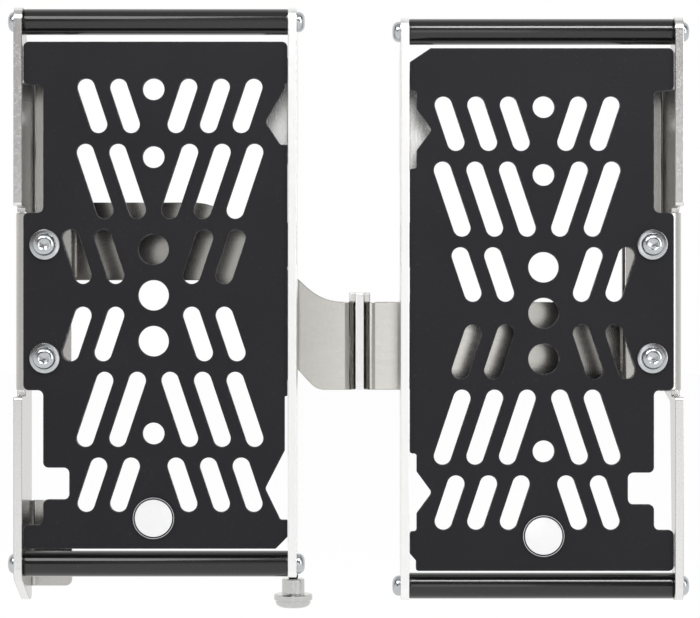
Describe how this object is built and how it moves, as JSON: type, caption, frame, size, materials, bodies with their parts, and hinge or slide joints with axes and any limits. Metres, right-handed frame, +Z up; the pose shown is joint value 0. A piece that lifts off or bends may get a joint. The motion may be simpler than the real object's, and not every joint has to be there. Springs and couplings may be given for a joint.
{
  "type": "motorcycle radiator guard",
  "caption": "Radiator guard for a motorcycle: slotted black grilles in bent side plates with cross tubes, joined by flat straps at a frame plate.",
  "frame": {"origin": "middle of the frame hole in the plate between the two guards", "axes": "+X to the right of a viewer who faces the grilles, +Y back towards the radiators, +Z up"},
  "size_m": [0.315, 0.0976, 0.2785],
  "materials": {
    "grille_black": "satin",
    "side_plate": "satin",
    "tube_black": "gloss",
    "strap_steel": "satin",
    "zinc_screw": "bright zinc",
    "foot_metal": "turned",
    "ring_rubber": "matte",
    "badge_white": "gloss"
  },
  "bodies": {
    "root": {"left_grille": "grille_black", "left_outer_plate": "side_plate", "left_inner_plate": "side_plate", "left_top_tube": "tube_black", "left_bottom_tube": "tube_black", "left_top_outer_screw": "zinc_screw", "left_top_inner_screw": "zinc_screw", "left_bottom_outer_screw": "zinc_screw", "left_bottom_inner_screw": "zinc_screw", "left_upper_grille_screw": "zinc_screw", "left_lower_grille_screw": "zinc_screw", "left_upper_grille_nut": "zinc_screw", "left_lower_grille_nut": "zinc_screw", "left_strap": "strap_steel", "left_upper_strap_screw": "zinc_screw", "left_lower_strap_screw": "zinc_screw", "left_upper_strap_nut": "zinc_screw", "left_lower_strap_nut": "zinc_screw", "left_badge": "badge_white", "foot_ring": "ring_rubber", "foot_collar": "foot_metal", "foot_screw": "foot_metal", "right_grille": "grille_black", "right_outer_plate": "side_plate", "right_inner_plate": "side_plate", "right_top_tube": "tube_black", "right_bottom_tube": "tube_black", "right_top_outer_screw": "zinc_screw", "right_top_inner_screw": "zinc_screw", "right_bottom_outer_screw": "zinc_screw", "right_bottom_inner_screw": "zinc_screw", "right_upper_grille_screw": "zinc_screw", "right_lower_grille_screw": "zinc_screw", "right_upper_grille_nut": "zinc_screw", "right_lower_grille_nut": "zinc_screw", "right_strap": "strap_steel", "right_upper_strap_screw": "zinc_screw", "right_lower_strap_screw": "zinc_screw", "right_upper_strap_nut": "zinc_screw", "right_lower_strap_nut": "zinc_screw", "right_badge": "badge_white", "middle_plate": "strap_steel", "upper_joint_screw": "zinc_screw", "lower_joint_screw": "zinc_screw", "upper_joint_nut": "zinc_screw", "lower_joint_nut": "zinc_screw"}
  },
  "joints": []
}
